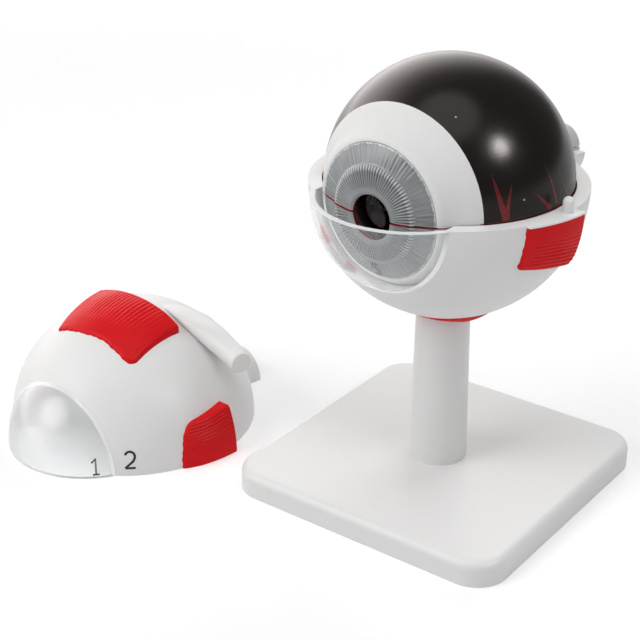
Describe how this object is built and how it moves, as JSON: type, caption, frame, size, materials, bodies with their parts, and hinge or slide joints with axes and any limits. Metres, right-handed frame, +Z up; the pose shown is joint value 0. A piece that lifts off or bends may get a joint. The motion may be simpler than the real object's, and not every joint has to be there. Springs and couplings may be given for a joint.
{
  "type": "eye anatomy model",
  "caption": "Take-apart desk model of a human eye on a square stand, with a white outer shell, red muscle pads, clear cornea, and a black inner ball that holds iris, lens and clear body.",
  "frame": {"origin": "centre of the base's underside, on the table", "axes": "+Z up; -Y the way the eye looks, apart from its own turn of 4 degrees; +X towards the side of the nose"},
  "size_m": [0.1848, 0.1197, 0.1304],
  "materials": {
    "stand_white": "moulded, softly glossy",
    "shell_white": "moulded, satin gloss",
    "clear_plastic": "clear plastic, polished",
    "muscle_red": "painted, ribbed",
    "ball_black": "glossy, with painted red vessels",
    "lining_red": "satin, with painted vessels",
    "ring_white": "fine-grained, matte",
    "iris_grey": "finely ribbed, satin",
    "nerve_grey": "glossy",
    "screw_steel": "bright zinc"
  },
  "bodies": {
    "stand": {"base_plate": "stand_white", "stem": "stand_white", "base_screw": "screw_steel", "bowl_screw": "screw_steel", "lower_sclera": "shell_white", "lower_cornea": "clear_plastic", "medial_rectus_lower": "muscle_red", "lateral_rectus_lower": "muscle_red", "inferior_rectus": "muscle_red"},
    "upper_shell": {"upper_sclera": "shell_white", "upper_cornea": "clear_plastic", "medial_rectus_upper": "muscle_red", "lateral_rectus_upper": "muscle_red", "superior_rectus": "muscle_red", "superior_oblique": "shell_white"},
    "lower_ball": {"lower_choroid": "ball_black", "lower_retina": "lining_red", "lower_ciliary_ring": "ring_white", "lower_iris": "iris_grey", "lower_optic_nerve": "nerve_grey"},
    "vitreous": {"vitreous_body": "clear_plastic"},
    "lens": {"lens": "clear_plastic"},
    "upper_ball": {"upper_choroid": "ball_black", "upper_retina": "lining_red", "upper_ciliary_ring": "ring_white", "upper_iris": "iris_grey", "upper_optic_nerve": "nerve_grey"}
  },
  "joints": [
    {"name": "upper_shell_lift", "type": "slide", "parent": "stand", "child": "upper_shell", "axis": [0, 0, 1], "range_m": [0, 0.14]},
    {"name": "ball_lift", "type": "slide", "parent": "stand", "child": "lower_ball", "axis": [0, 0, 1], "range_m": [0, 0.05]},
    {"name": "vitreous_lift", "type": "slide", "parent": "lower_ball", "child": "vitreous", "axis": [-0.0012, -0.0174, 0.9998], "range_m": [0, 0.045]},
    {"name": "upper_ball_lift", "type": "slide", "parent": "vitreous", "child": "upper_ball", "axis": [-0.0012, -0.0174, 0.9998], "range_m": [0, 0.1]},
    {"name": "lens_out", "type": "slide", "parent": "vitreous", "child": "lens", "axis": [-0.0338, -0.4836, 0.8746], "range_m": [0, 0.05]}
  ],
  "couplings": [
    {"joint": "lens_out", "follows": "upper_ball_lift", "ratio": 0.5}
  ]
}
